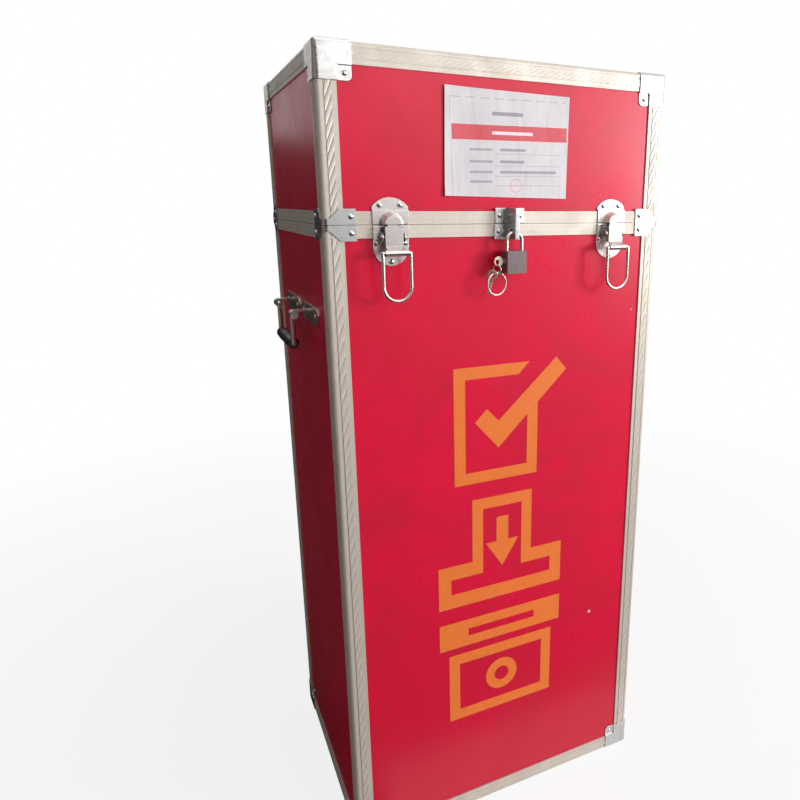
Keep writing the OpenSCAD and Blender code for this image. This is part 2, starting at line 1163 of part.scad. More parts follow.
// One leaf drawn downwards; the knuckles at the places listed belong to it.
module hinge_leaf(outer) {
  third = hinge_w / 3;
  v = hinge_v - frame_t;
  difference() {
    union() {
      intersection() {
        translate([-hinge_w / 2, -frame_t, -leaf_h])
          cube([hinge_w, frame_t + 2 * leaf_t, leaf_h - split_gap]);
        across(2 * hinge_w)
          polygon([[0, 0], [leaf_t, 0], [leaf_t, -rim_h - leaf_t],
            [leaf_t - frame_t, -rim_h - leaf_t], [leaf_t - frame_t, -2 * leaf_h],
            [-frame_t, -2 * leaf_h], [-frame_t, -rim_h], [0, -rim_h]]);
      }
      if (outer) {
        for (x = [-1, 1])
          translate([x * third, 0, 0])
            across(third - skin)
              translate([v, 0])
                circle(hinge_r);
      } else {
        across(third - skin)
          translate([v, 0])
            circle(hinge_r);
      }
    }
    across(2 * hinge_w)
      translate([v, 0])
        circle(pin_r + slack);
    if (outer) {
      translate([-(third + skin) / 2, -leaf_t, -hinge_r - 2 * skin])
        cube([third + skin, leaf_h, leaf_h]);
    } else {
      for (x = [-1, 1])
        translate([x * third - (third + skin) / 2, -leaf_t, -hinge_r - 2 * skin])
          cube([third + skin, leaf_h, leaf_h]);
    }
  }
}

module hinge_body_leaves() {
  set_in()
    color([0.74, 0.74, 0.74])
      for (x = [-1, 1])
        at_back(x * hinge_x)
          hinge_leaf(true);
}

module hinge_lid_leaves() {
  set_in()
    color([0.74, 0.74, 0.74])
      for (x = [-1, 1])
        at_back(x * hinge_x)
          mirror([0, 0, 1])
            hinge_leaf(false);
}

module hinge_pins() {
  set_in()
    color([0.6, 0.6, 0.6])
      for (x = [-1, 1])
        at_back(x * hinge_x)
          translate([0, hinge_v - frame_t, 0])
            rotate([0, 90, 0]) {
              cylinder(h = hinge_w + 0.2, r = pin_r, center = true);
              for (k = [-1, 1])
                translate([0, 0, k * (hinge_w / 2 + 0.5)])
                  cylinder(h = 0.8, r = 2.4, center = true);
            }
}

// Rivets

// Rivets of the lid: caps, brackets, strikes, hasp, hinges and slot trim.
module lid_rivets() {
  set_in()
    color([0.85, 0.85, 0.85]) {
      at_corners(frame_top)
        mirror([0, 0, 1])
          cap_rivets();
      at_corners(split_z)
        bracket_rivets();
      for (x = [-1, 1])
        at_front(x * latch_x)
          for (k = [-1, 1])
            translate([k * 10.5, plate_t - frame_t, 19])
              rivet();
      at_front(0)
        for (k = [-1, 1])
          translate([k * 12.3, plate_t, 8.5])
            rivet(2.7);
      for (x = [-1, 1])
        at_back(x * hinge_x)
          for (k = [-1, 0, 1])
            translate([k * hinge_w / 3, leaf_t - frame_t, leaf_rivet])
              rivet(2.6);
      for (x = [-1, 1])
        translate([x * (slot_l + trim_w) / 2, 0, panel_top + plate_t])
          rotate([90, 0, 0])
            rivet(2.4);
    }
}

// Rivets of the body: caps, brackets, latch bases, hasp, handles and hinges.
module body_rivets() {
  set_in()
    color([0.85, 0.85, 0.85]) {
      at_corners(frame_low)
        cap_rivets();
      at_corners(split_z)
        mirror([0, 0, 1])
          bracket_rivets();
      for (x = [-1, 1])
        at_front(x * latch_x)
          for (k = [[-15, -18], [15, -18], [0, -36.5]])
            translate([k[0], plate_t - frame_t, k[1]])
              rivet(2.9);
      at_front(0)
        translate([-13.3, plate_t, -8])
          rivet(2.7);
      for (side = [-1, 1])
        at_side(side)
          for (x = [-1, 1])
            for (k = [-1, 1])
              translate([x * handle_w / 2 + k * handle_rivet, leaf_t - frame_t, 0])
                rivet();
      for (x = [-1, 1])
        at_back(x * hinge_x)
          for (k = [-1, 0, 1])
            translate([k * hinge_w / 3, leaf_t - frame_t, -leaf_rivet])
              rivet(2.6);
    }
}

// Slot trim, certificate and emblems

module slot_trim() {
  set_in()
    color([0.8, 0.8, 0.8])
      difference() {
        union() {
          translate([0, 0, panel_top])
            linear_extrude(plate_t)
              rounded(slot_l + 2 * trim_w, slot_w + 2 * trim_h, trim_r);
          translate([0, 0, panel_top - panel_t])
            linear_extrude(panel_t + plate_t)
              square([slot_l + 2 * plate_t, slot_w + 2 * plate_t], center = true);
        }
        translate([0, 0, panel_top - 2 * panel_t])
          linear_extrude(3 * panel_t)
            square([slot_l, slot_w], center = true);
      }
}

// The plain certificate sheet on the front of the lid.
module certificate() {
  set_in()
    color([0.9, 0.9, 0.94])
      translate([-1, -in_d / 2, split_z + 27.5 + sheet_h / 2])
        mirror([0, 1, 0])
          rotate([0, -0.8, 0])
            translate([-sheet_w / 2, 0, -sheet_h / 2])
              cube([sheet_w, 0.3, sheet_h]);
}

// A slip of paper with a bold tick on it.
module slip_emblem() {
  difference() {
    translate([-62, -70])
      square([108, 140]);
    translate([-48, -56])
      square([80, 112]);
    translate([10, -2])
      rotate(45)
        square([80, 34]);
  }
  polygon([[-36, 4], [-21, 19], [-6, 3], [70, 72], [84, 56], [-6, -30]]);
}

// A slip going down into the slot of a box.
module slot_emblem() {
  translate([-84, -68])
    square([168, 18]);
  for (x = [-84, 28])
    translate([x, -30])
      square([56, 18]);
  for (x = [-84, 68])
    translate([x, -60])
      square([16, 48]);
  difference() {
    translate([-40, -30])
      square([80, 98]);
    translate([-26, -31])
      square([52, 85]);
  }
  translate([-8, 4])
    square([16, 36]);
  polygon([[-22, 8], [22, 8], [0, -26]]);
}

// A closed box with a slot in its lid and a round lock.
module box_emblem() {
  difference() {
    translate([-72, -70])
      square([144, 94]);
    translate([-58, -56])
      square([116, 66]);
  }
  difference() {
    translate([-84, 34])
      square([168, 36]);
    translate([-46, 47])
      square([92, 10]);
  }
  difference() {
    translate([0, -22])
      circle(22);
    translate([0, -22])
      circle(10);
  }
}

// Places an emblem, counted from the top one, and scales it to its height.
module emblem(k) {
  translate([0, 0, split_z - emblem_drop - k * emblem_step])
    facing(0.3)
      scale(emblem_h / 140)
        children();
}

module emblems() {
  set_in()
    color([0.91, 0.47, 0.13])
      translate([-5, -in_d / 2, 0])
        mirror([0, 1, 0]) {
          emblem(0)
            slip_emblem();
          emblem(1)
            slot_emblem();
          emblem(2)
            box_emblem();
        }
}

panel_front();
panel_back();
panel_left();
panel_right();
panel_bottom();
lid_front();
lid_back();
lid_left();
lid_right();
lid_top();
upright_front_left();
upright_front_right();
upright_back_left();
upright_back_right();
lid_uprights();
base_edges();
top_edges();
body_rim();
lid_rim();
base_caps();
top_caps();
body_brackets();
lid_brackets();
body_rivets();
lid_rivets();
strike_left();
latch_base_left();
latch_lever_left();
latch_pin_left();
latch_spring_left();
latch_bail_left();
strike_right();
latch_base_right();
latch_lever_right();
latch_pin_right();
latch_spring_right();
latch_bail_right();
hasp_lid();
hasp_body();
lock_body();
lock_shackle();
lock_plug();
lock_key();
link_ring();
key_ring();
spare_key();
handle_plates_left();
handle_bail_left();
handle_grip_left();
handle_plates_right();
handle_bail_right();
handle_grip_right();
hinge_body_leaves();
hinge_lid_leaves();
hinge_pins();
slot_trim();
certificate();
emblems();
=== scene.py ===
"""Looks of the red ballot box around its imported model. Metres, Z up, the front faces -Y."""
import json
import math

import bpy
from mathutils import Matrix, Vector


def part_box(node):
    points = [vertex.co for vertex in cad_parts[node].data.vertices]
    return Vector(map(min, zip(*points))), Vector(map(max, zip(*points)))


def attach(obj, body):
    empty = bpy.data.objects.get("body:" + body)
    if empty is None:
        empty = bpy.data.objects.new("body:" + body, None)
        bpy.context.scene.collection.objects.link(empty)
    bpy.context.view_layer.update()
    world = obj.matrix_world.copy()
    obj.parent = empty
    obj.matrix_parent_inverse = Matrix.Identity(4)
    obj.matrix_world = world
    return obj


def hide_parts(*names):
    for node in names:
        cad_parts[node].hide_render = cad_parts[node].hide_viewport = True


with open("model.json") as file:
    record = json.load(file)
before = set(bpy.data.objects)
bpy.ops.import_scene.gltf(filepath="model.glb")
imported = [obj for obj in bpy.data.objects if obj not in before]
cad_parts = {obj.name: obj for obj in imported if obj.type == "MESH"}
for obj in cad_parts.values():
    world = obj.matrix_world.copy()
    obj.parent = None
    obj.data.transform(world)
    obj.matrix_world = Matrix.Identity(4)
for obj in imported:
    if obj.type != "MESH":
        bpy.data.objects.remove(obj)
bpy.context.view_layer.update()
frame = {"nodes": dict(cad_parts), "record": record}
nodes = frame["nodes"]

MM = 0.001
BODY = "box"
LID = "lid"
RIM_LOW, RIM_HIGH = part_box("body_rim")
LEFT, RIGHT = RIM_LOW.x, RIM_HIGH.x
FRONT, BACK = RIM_LOW.y, RIM_HIGH.y
MID_Y = (FRONT + BACK) / 2
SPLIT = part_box("lid_uprights")[0].z
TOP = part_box("top_edges")[1].z
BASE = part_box("base_edges")[0].z
PROFILE_WIDTH = 20.5 * MM


# Node trees

def add_node(tree, kind, inputs=None, **settings):
    """One shader node; inputs are values or sockets, by name or number."""
    made = tree.nodes.new(kind)
    for key, value in settings.items():
        setattr(made, key, value)
    for key, value in (inputs or {}).items():
        if isinstance(value, bpy.types.NodeSocket):
            tree.links.new(value, made.inputs[key])
        else:
            made.inputs[key].default_value = value
    return made


def math_node(tree, operation, a, b=0.0):
    return add_node(tree, "ShaderNodeMath", {0: a, 1: b}, operation=operation).outputs[0]


def either(tree, share, yes, no):
    """The first value where share is 1, the second where it is 0."""
    rest = math_node(tree, "SUBTRACT", 1.0, share)
    return math_node(tree, "ADD", math_node(tree, "MULTIPLY", share, yes),
                     math_node(tree, "MULTIPLY", rest, no))


def between(tree, value, low, high):
    return math_node(tree, "MULTIPLY", math_node(tree, "GREATER_THAN", value, low),
                     math_node(tree, "LESS_THAN", value, high))


def remap(tree, value, low, high, out_low=0.0, out_high=1.0):
    return add_node(tree, "ShaderNodeMapRange",
                    {"Value": value, "From Min": low, "From Max": high,
                     "To Min": out_low, "To Max": out_high}).outputs["Result"]


def mix_colour(tree, factor, a, b, blend="MIX"):
    """Inputs 0, 6 and 7 of a Mix node are its factor and its two colours."""
    return add_node(tree, "ShaderNodeMix", {0: factor, 6: a, 7: b},
                    data_type="RGBA", blend_type=blend).outputs[2]


def noise(tree, vector, scale, detail=3.0, rough=0.5, distortion=0.0):
    return add_node(tree, "ShaderNodeTexNoise",
                    {"Vector": vector, "Scale": scale, "Detail": detail,
                     "Roughness": rough, "Distortion": distortion}).outputs["Fac"]


def stretched(tree, vector, scale):
    """Object coordinates scaled apart along the three axes."""
    return add_node(tree, "ShaderNodeMapping",
                    {"Vector": vector, "Scale": scale}).outputs["Vector"]


def axes_of(tree, vector):
    return add_node(tree, "ShaderNodeSeparateXYZ", {0: vector}).outputs


def new_group(name, sockets_in, sockets_out):
    """An empty node group; sockets are (name, type, default) and (name, type)."""
    group = bpy.data.node_groups.new(name, "ShaderNodeTree")
    for label, kind, default in sockets_in:
        socket = group.interface.new_socket(label, in_out="INPUT", socket_type=kind)
        if default is not None:
            socket.default_value = default
    for label, kind in sockets_out:
        group.interface.new_socket(label, in_out="OUTPUT", socket_type=kind)
    given = group.nodes.new("NodeGroupInput")
    result = group.nodes.new("NodeGroupOutput")
    return group, given.outputs, result.inputs


def use_group(tree, group, **inputs):
    """A group's outputs; an input named Dent_Scale feeds the socket Dent Scale."""
    sockets = {key.replace("_", " "): value for key, value in inputs.items()}
    return add_node(tree, "ShaderNodeGroup", sockets, node_tree=group).outputs


FLOAT = "NodeSocketFloat"
VECTOR = "NodeSocketVector"


def build_peel():
    """Orange peel of a pressed laminate on a soft swell, with a dull film and rare specks."""
    group, given, result = new_group(
        "orange_peel",
        [("Vector", VECTOR, None), ("Grain Scale", FLOAT, 700.0), ("Film Scale", FLOAT, 9.0)],
        [("Height", FLOAT), ("Film", FLOAT), ("Speck", FLOAT)])
    links = group.links
    place = given["Vector"]
    grain = noise(group, place, given["Grain Scale"], detail=2.0, rough=0.6)
    swell = math_node(group, "MULTIPLY", noise(group, place, scale=28.0, detail=2.0), 1.6)
    links.new(math_node(group, "ADD", grain, swell), result["Height"])
    film = noise(group, place, given["Film Scale"], detail=5.0, rough=0.62, distortion=0.6)
    links.new(remap(group, film, 0.35, 0.7), result["Film"])
    cells = add_node(group, "ShaderNodeTexVoronoi",
                     {"Vector": place, "Scale": 38.0, "Randomness": 1.0}, feature="F1")
    near = remap(group, cells.outputs["Distance"], 0.035, 0.05, out_low=1.0, out_high=0.0)
    rare = remap(group, noise(group, place, scale=13.0, detail=1.0), 0.62, 0.66)
    links.new(math_node(group, "MULTIPLY", near, rare), result["Speck"])
    return group


def build_streaks():
    """Drawing lines of the extrusions, upright ones mixed with level ones, and smudges."""
    group, given, result = new_group(
        "drawing_lines", [("Vector", VECTOR, None), ("Smudge Scale", FLOAT, 22.0)],
        [("Lines", FLOAT), ("Smudge", FLOAT)])
    links = group.links
    place = given["Vector"]
    across, along = 900.0, 6.0
    upright = noise(group, stretched(group, place, (across, across, along)), scale=1.0)
    along_x = noise(group, stretched(group, place, (along, across, across)), scale=1.0)
    along_y = noise(group, stretched(group, place, (across, along, across)), scale=1.0)
    from_middle = math_node(group, "ABSOLUTE", axes_of(group, place)["X"])
    at_sides = math_node(group, "GREATER_THAN", from_middle, RIGHT - PROFILE_WIDTH)
    level = either(group, at_sides, along_y, along_x)
    both = math_node(group, "MULTIPLY", math_node(group, "ADD", level, upright), 0.5)
    links.new(both, result["Lines"])
    smudge = noise(group, place, given["Smudge Scale"], detail=6.0, rough=0.65, distortion=0.8)
    links.new(remap(group, smudge, 0.38, 0.68), result["Smudge"])
    return group


def build_scuffs():
    """Handling marks of plated steel: soft dents, a mottled film and fine scratches."""
    group, given, result = new_group(
        "plate_scuffs",
        [("Vector", VECTOR, None), ("Dent Scale", FLOAT, 90.0), ("Scratch Scale", FLOAT, 60.0)],
        [("Dents", FLOAT), ("Mottle", FLOAT), ("Scratches", FLOAT)])
    links = group.links
    place = given["Vector"]
    dents = noise(group, place, given["Dent Scale"], detail=2.0, rough=0.55, distortion=0.5)
    links.new(dents, result["Dents"])
    mottle = noise(group, place, scale=95.0, detail=4.0, rough=0.6, distortion=0.8)
    links.new(remap(group, mottle, 0.36, 0.66), result["Mottle"])
    sway = add_node(group, "ShaderNodeTexNoise", {"Vector": place, "Scale": 30.0})
    bent = add_node(group, "ShaderNodeVectorMath", {0: place, 1: sway.outputs["Color"]},
                    operation="ADD").outputs["Vector"]
    lines = add_node(group, "ShaderNodeTexVoronoi",
                     {"Vector": stretched(group, bent, (1.0, 1.0, 0.25)),
                      "Scale": given["Scratch Scale"]},
                     feature="DISTANCE_TO_EDGE").outputs["Distance"]
    scratch = remap(group, lines, 0.0, 0.01, out_low=1.0, out_high=0.0)
    patch = remap(group, noise(group, place, scale=120.0, detail=2.0), 0.5, 0.62)
    links.new(math_node(group, "MULTIPLY", scratch, patch), result["Scratches"])
    return group


PEEL = build_peel()
STREAKS = build_streaks()
SCUFFS = build_scuffs()


# Finishes

# Painted shade: the laminate darkens towards the floor, fully at the bottom and not at all above
# this height
PAINTED_FOOT_SHADE = 0.8
PAINTED_SHADE_TOP = 450 * MM
CHIP_PLACE = (128 * MM, FRONT + 2 * MM, 239 * MM)
CHIP_CORE, CHIP_EDGE = 1.6 * MM, 2.4 * MM
SPECK_COVER = 0.45
SMUDGE_COVER = 0.35
MOTTLE_COVER = 0.4
SCRATCH_ROUGH = 0.12
SCRATCH_DEPTH = 0.05


def start_material(name, rough, metal=0.0, **sockets):
    """A material with its Principled node; returns material, tree, shader and coordinates."""
    material = bpy.data.materials.new(name)
    material.use_nodes = True
    tree = material.node_tree
    shader = tree.nodes["Principled BSDF"]
    shader.inputs["Roughness"].default_value = rough
    shader.inputs["Metallic"].default_value = metal
    for key, value in sockets.items():
        shader.inputs[key.replace("_", " ")].default_value = value
    place = tree.nodes.new("ShaderNodeTexCoord").outputs["Object"]
    return material, tree, shader, place


def bump(tree, shader, height, distance, strength):
    made = add_node(tree, "ShaderNodeBump",
                    {"Height": height, "Distance": distance, "Strength": strength})
    tree.links.new(made.outputs["Normal"], shader.inputs["Normal"])


def laminate(name, colour, pale, dark):
    """Red pressed laminate: satin film, orange peel, painted shade darkening its foot, one chip
    and specks.
    """
    material, tree, shader, place = start_material(name, rough=0.3, Specular_IOR_Level=0.36)
    peel = use_group(tree, PEEL, Vector=place)
    tone = mix_colour(tree, peel["Film"], colour, dark)
    # Painted shade at the foot: the colour is darker lower down, where less lamp light falls
    foot = remap(tree, axes_of(tree, place)["Z"], 0.0, PAINTED_SHADE_TOP,
                 out_low=PAINTED_FOOT_SHADE, out_high=0.0)
    tone = mix_colour(tree, foot, tone, dark)
    from_chip = add_node(tree, "ShaderNodeVectorMath", {0: place, 1: CHIP_PLACE},
                         operation="DISTANCE").outputs["Value"]
    chip = remap(tree, from_chip, CHIP_CORE, CHIP_EDGE, out_low=1.0, out_high=0.0)
    specks = math_node(tree, "MULTIPLY", peel["Speck"], SPECK_COVER)
    marks = math_node(tree, "MAXIMUM", chip, specks)
    tree.links.new(mix_colour(tree, marks, tone, pale), shader.inputs["Base Color"])
    rough = remap(tree, peel["Film"], 0.0, 1.0, out_low=0.26, out_high=0.36)
    tree.links.new(rough, shader.inputs["Roughness"])
    bump(tree, shader, peel["Height"], distance=0.05 * MM, strength=0.5)
    return material


def extrusion(name, colour, grime):
    """Warm silver extrusion with drawing lines and dull smudges."""
    material, tree, shader, place = start_material(name, rough=0.45, metal=0.3)
    drawn = use_group(tree, STREAKS, Vector=place)
    smudges = math_node(tree, "MULTIPLY", drawn["Smudge"], SMUDGE_COVER)
    tone = mix_colour(tree, smudges, colour, grime)
    fine = remap(tree, drawn["Lines"], 0.3, 0.7, out_low=0.9, out_high=1.06)
    shade = add_node(tree, "ShaderNodeCombineColor", {0: fine, 1: fine, 2: fine}).outputs[0]
    tone = mix_colour(tree, 1.0, tone, shade, blend="MULTIPLY")
    tree.links.new(tone, shader.inputs["Base Color"])
    rough = remap(tree, drawn["Smudge"], 0.0, 1.0, out_low=0.4, out_high=0.56)
    tree.links.new(rough, shader.inputs["Roughness"])
    bump(tree, shader, drawn["Lines"], distance=0.05 * MM, strength=0.4)
    return material


def plated(name, colour, dull, rough_low, rough_high, dent, dent_scale=90.0):
    """Bright plated steel with dents, mottling and scratches."""
    material, tree, shader, place = start_material(name, rough=0.25, metal=1.0)
    scuffs = use_group(tree, SCUFFS, Vector=place, Dent_Scale=dent_scale)
    film = math_node(tree, "MULTIPLY", scuffs["Mottle"], MOTTLE_COVER)
    tree.links.new(mix_colour(tree, film, colour, dull), shader.inputs["Base Color"])
    rough = remap(tree, scuffs["Mottle"], 0.0, 1.0, out_low=rough_low, out_high=rough_high)
    rougher = math_node(tree, "MULTIPLY", scuffs["Scratches"], SCRATCH_ROUGH)
    tree.links.new(math_node(tree, "ADD", rough, rougher), shader.inputs["Roughness"])
    groove = math_node(tree, "MULTIPLY", scuffs["Scratches"], SCRATCH_DEPTH)
    height = math_node(tree, "SUBTRACT", scuffs["Dents"], groove)
    bump(tree, shader, height, distance=dent, strength=0.6)
    return material


def plain_skin(name, colour, second, rough, metal, grain, depth):
    """A fine-grained finish in two close tones."""
    material, tree, shader, place = start_material(name, rough, metal)
    patch = noise(tree, place, scale=grain / 6, detail=4.0, rough=0.6)
    fine = noise(tree, place, scale=grain, rough=0.6)
    tone = mix_colour(tree, remap(tree, patch, 0.35, 0.65), colour, second)
    tree.links.new(tone, shader.inputs["Base Color"])
    uneven = remap(tree, patch, 0.3, 0.7, out_low=rough * 0.8, out_high=min(1.0, rough * 1.25))
    tree.links.new(uneven, shader.inputs["Roughness"])
    bump(tree, shader, fine, distance=depth, strength=0.7)
    return material


def hammered(name, colour, second):
    """Dark hammered lacquer of the padlock body."""
    material, tree, shader, place = start_material(name, rough=0.45, metal=0.35)
    cells = add_node(tree, "ShaderNodeTexVoronoi", {"Vector": place, "Scale": 900.0},
                     feature="SMOOTH_F1").outputs["Distance"]
    tone = mix_colour(tree, remap(tree, cells, 0.1, 0.7), colour, second)
    tree.links.new(tone, shader.inputs["Base Color"])
    bump(tree, shader, cells, distance=0.12 * MM, strength=0.8)
    return material


# The dark tone serves both the film's random tone and the painted shade at the foot
RED = laminate("red_laminate", (0.72, 0.001, 0.040, 1), pale=(0.93, 0.62, 0.62, 1),
               dark=(0.56, 0.001, 0.028, 1))
SILVER = extrusion("frame_aluminium", (0.64, 0.57, 0.50, 1), grime=(0.43, 0.37, 0.31, 1))
CAP_STEEL = plated("cap_steel", (0.60, 0.59, 0.58, 1), (0.42, 0.41, 0.40, 1),
                   rough_low=0.22, rough_high=0.36, dent=0.25 * MM, dent_scale=40.0)
ZINC = plated("bracket_zinc", (0.60, 0.60, 0.60, 1), (0.40, 0.39, 0.39, 1),
              rough_low=0.24, rough_high=0.36, dent=0.15 * MM, dent_scale=60.0)
LATCH_STEEL = plated("latch_steel", (0.62, 0.58, 0.56, 1), (0.46, 0.42, 0.40, 1),
                     rough_low=0.24, rough_high=0.34, dent=0.04 * MM)
WIRE = plated("bright_wire", (0.66, 0.62, 0.58, 1), (0.48, 0.44, 0.41, 1),
              rough_low=0.24, rough_high=0.36, dent=0.04 * MM)
RIVET = plated("rivet_steel", (0.64, 0.61, 0.60, 1), (0.46, 0.42, 0.41, 1),
               rough_low=0.2, rough_high=0.3, dent=0.04 * MM)
SPRING = plain_skin("spring_steel", (0.30, 0.24, 0.22, 1), (0.45, 0.38, 0.34, 1),
                    rough=0.35, metal=0.9, grain=900.0, depth=0.05 * MM)
LOCK = hammered("lock_lacquer", (0.13, 0.095, 0.095, 1), (0.20, 0.155, 0.155, 1))
KEY = plain_skin("key_metal", (0.80, 0.72, 0.58, 1), (0.66, 0.58, 0.46, 1),
                 rough=0.3, metal=0.95, grain=1200.0, depth=0.04 * MM)
GRIP = plain_skin("grip_black", (0.012, 0.011, 0.011, 1), (0.03, 0.027, 0.026, 1),
                  rough=0.22, metal=0.0, grain=500.0, depth=0.06 * MM)
PAPER = plain_skin("paper_sheet", (0.82, 0.80, 0.88, 1), (0.76, 0.75, 0.84, 1),
                   rough=0.55, metal=0.0, grain=1500.0, depth=0.03 * MM)
ORANGE = plain_skin("orange_film", (0.80, 0.17, 0.022, 1), (0.82, 0.19, 0.026, 1),
                    rough=0.38, metal=0.0, grain=900.0, depth=0.02 * MM)
DARK_CARD = plain_skin("dark_card", (0.02, 0.018, 0.018, 1), (0.03, 0.027, 0.027, 1),
                       rough=0.9, metal=0.0, grain=40.0, depth=1 * MM)
GREY_CARD = plain_skin("grey_card", (0.22, 0.18, 0.16, 1), (0.26, 0.22, 0.20, 1),
                       rough=0.9, metal=0.0, grain=40.0, depth=1 * MM)

FINISHES = {
    RED: ["panel_front", "panel_back", "panel_left", "panel_right", "panel_bottom",
          "lid_front", "lid_back", "lid_left", "lid_right", "lid_top"],
    SILVER: ["upright_front_left", "upright_front_right", "upright_back_left",
             "upright_back_right", "lid_uprights", "base_edges", "top_edges",
             "body_rim", "lid_rim"],
    CAP_STEEL: ["base_caps", "top_caps", "slot_trim"],
    ZINC: ["body_brackets", "lid_brackets", "hinge_body_leaves", "hinge_lid_leaves",
           "hasp_lid", "hasp_body"],
    LATCH_STEEL: [part + side for side in ("left", "right")
                  for part in ("strike_", "latch_base_", "latch_lever_")],
    WIRE: ["latch_bail_left", "latch_bail_right", "lock_shackle", "link_ring", "key_ring",
           "handle_plates_left", "handle_plates_right", "handle_bail_left",
           "handle_bail_right"],
    RIVET: ["body_rivets", "lid_rivets", "hinge_pins", "latch_pin_left", "latch_pin_right"],
    SPRING: ["latch_spring_left", "latch_spring_right"],
    LOCK: ["lock_body"],
    KEY: ["lock_plug", "lock_key", "spare_key"],
    GRIP: ["handle_grip_left", "handle_grip_right"],
    PAPER: ["certificate"],
    ORANGE: ["emblems"],
}
for finish, members in FINISHES.items():
    for member in members:
        slots = nodes[member].data.materials
        slots.clear()
        slots.append(finish)


# Work on meshes

CUT_TOLERANCE = 0.001 * MM
SMOOTH_ANGLE = 50


def deselect():
    bpy.ops.object.select_all(action="DESELECT")


def pick(obj):
    deselect()
    obj.select_set(True)
    bpy.context.view_layer.objects.active = obj


def apply_modifier(obj, kind, **settings):
    modifier = obj.modifiers.new(kind.lower(), kind)
    for key, value in settings.items():
        setattr(modifier, key, value)
    pick(obj)
    bpy.ops.object.modifier_apply(modifier=modifier.name)


def trim(obj, point, normal):
    """Cuts away what lies beyond a plane, on the side its normal points to."""
    pick(obj)
    bpy.ops.object.mode_set(mode="EDIT")
    bpy.ops.mesh.select_all(action="SELECT")
    bpy.ops.mesh.bisect(plane_co=point, plane_no=normal, use_fill=True,
                        clear_outer=True, clear_inner=False, threshold=CUT_TOLERANCE)
    bpy.ops.object.mode_set(mode="OBJECT")


def smooth(obj, degrees):
    pick(obj)
    bpy.ops.object.shade_smooth_by_angle(angle=math.radians(degrees))


def join(objs, name):
    deselect()
    for obj in objs:
        obj.select_set(True)
    bpy.context.view_layer.objects.active = objs[0]
    bpy.ops.object.join()
    objs[0].name = name
    objs[0].data.name = name
    return objs[0]


def dress(obj, material, body, slot, *replaced):
    """Gives a finished piece its material and its body, and hides the nodes it stands for; the
    slot is not used.
    """
    obj.data.materials.clear()
    obj.data.materials.append(material)
    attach(obj, body)
    if replaced:
        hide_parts(*replaced)


# Ribs of the extrusions

RIB_SIDES = 16
RIB_SHARE = 0.485
RIB_RISE = 0.45 * MM
RIB_FOOT = 0.02 * MM
SINK = 0.05 * MM
BAND_MID = 11.5 * MM
BAND_HALF = 3.4 * MM
CAP_REACH = 34.8 * MM
RIM_HEIGHT = 13 * MM
RIM_REACH = 32.5 * MM
RIM_HALF = 2.2 * MM
LID_RIM_BAND = SPLIT + 7.0 * MM
BODY_RIM_BAND = SPLIT - 7.2 * MM
BODY_PITCH = 17.1 * MM
LID_PITCH = 12.4 * MM
EDGE_PITCH = 8.4 * MM
RIM_PITCH = 11.0 * MM
UPRIGHT_LEAN = -22
LEVEL_LEAN = 24
FACES = ((0, -1), (0, 1))
FLANKS = ((-1, 0), (1, 0))
CORNERS = {"front_left": (-1, -1), "front_right": (1, -1),
           "back_left": (-1, 1), "back_right": (1, 1)}


def rib_band(start, along, out, length, pitch, half, rise, lean):
    """A run of slanting half-round ribs on a flat band, trimmed square at its borders.

    A rib's half width is RIB_SHARE of the distance between two, so neighbours stay apart.
    """
    slope = math.radians(abs(lean))
    width = pitch * math.sin(slope) * RIB_SHARE
    reach = half / math.sin(slope) + 2 * width
    deselect()
    bpy.ops.mesh.primitive_cylinder_add(vertices=RIB_SIDES, radius=1.0, depth=2.0 * reach,
                                        end_fill_type="NGON")
    rib = bpy.context.active_object
    turn = Matrix.Rotation(math.radians(lean), 4, "Z") @ Matrix.Diagonal((1, width, rise, 1))
    rib.data.transform(turn @ Matrix.Rotation(math.pi / 2, 4, "Y"))
    trim(rib, (0, 0, -RIB_FOOT), (0, 0, -1))
    span = half / math.tan(slope)
    rib.data.transform(Matrix.Translation((-span, 0, 0)))
    count = int((length + 2 * span) / pitch) + 1
    apply_modifier(rib, "ARRAY", count=count, use_relative_offset=False,
                   use_constant_offset=True, constant_offset_displace=(pitch, 0, 0))
    for point, normal in (((0, half, 0), (0, 1, 0)), ((0, -half, 0), (0, -1, 0)),
                          ((0, 0, 0), (-1, 0, 0)), ((length, 0, 0), (1, 0, 0))):
        trim(rib, point, normal)
    x, z = Vector(along), Vector(out)
    y = z.cross(x)
    place = Matrix((x, y, z)).transposed().to_4x4()
    place.translation = Vector(start)
    rib.data.transform(place)
    smooth(rib, SMOOTH_ANGLE)
    return rib


def upright_ribs(name, corners, low, high, pitch, body):
    """Ribs of upright profiles, on the front or back face and the side face of each."""
    runs = []
    for sx, sy in corners:
        x_edge = LEFT if sx < 0 else RIGHT
        y_edge = FRONT if sy < 0 else BACK
        face = ((x_edge - sx * BAND_MID, y_edge - sy * SINK, low), (0, sy, 0))
        flank = ((x_edge - sx * SINK, y_edge - sy * BAND_MID, low), (sx, 0, 0))
        for start, out in (face, flank):
            runs.append(rib_band(start, (0, 0, 1), out, high - low, pitch,
                                 BAND_HALF, RIB_RISE, UPRIGHT_LEAN))
    dress(join(runs, name), SILVER, body, "frame_aluminium")


